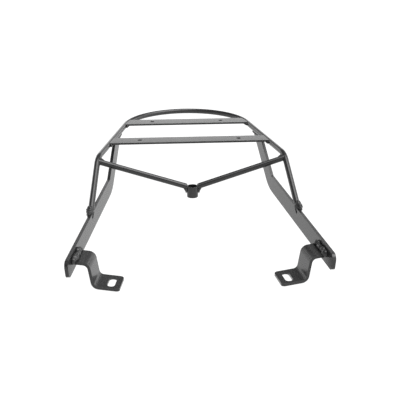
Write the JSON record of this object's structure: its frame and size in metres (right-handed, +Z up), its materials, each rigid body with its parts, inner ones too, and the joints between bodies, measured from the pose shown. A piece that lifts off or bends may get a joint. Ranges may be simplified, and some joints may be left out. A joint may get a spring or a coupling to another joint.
{
  "type": "motorcycle rear luggage rack",
  "caption": "Welded rear luggage rack: round-bar hoop with turned-down legs, drilled flat crossbars, V brace to a centre sleeve, and cranked side plates with slotted folded brackets.",
  "frame": {"origin": "bottom centre of the rack's bounding box, level with the lowest edge of the two mounting tabs", "axes": "+X across the rack to its right-hand side seen from the mounting end, +Y from the mounting end to the rounded tail, +Z up"},
  "size_m": [0.3916, 0.5886, 0.1268],
  "materials": {
    "round_bar_paint": "satin black powder coat on round steel bar",
    "flat_bar_paint": "satin black powder coat on flat steel bar",
    "weld_paint": "satin black powder coat over rippled weld beads"
  },
  "bodies": {
    "root": {"hoop_bar": "round_bar_paint", "front_crossbar": "flat_bar_paint", "rear_crossbar": "flat_bar_paint", "left_front_crossbar_weld": "weld_paint", "right_front_crossbar_weld": "weld_paint", "left_rear_crossbar_weld": "weld_paint", "right_rear_crossbar_weld": "weld_paint", "left_brace_rod": "round_bar_paint", "right_brace_rod": "round_bar_paint", "left_brace_corner_weld": "weld_paint", "right_brace_corner_weld": "weld_paint", "left_brace_boss_weld": "weld_paint", "right_brace_boss_weld": "weld_paint", "centre_boss": "round_bar_paint", "left_side_plate": "flat_bar_paint", "right_side_plate": "flat_bar_paint", "left_leg_foot_weld": "weld_paint", "right_leg_foot_weld": "weld_paint", "left_upright_top_weld": "weld_paint", "right_upright_top_weld": "weld_paint", "left_mounting_bracket": "flat_bar_paint", "right_mounting_bracket": "flat_bar_paint", "left_bracket_weld": "weld_paint", "right_bracket_weld": "weld_paint"}
  },
  "joints": []
}
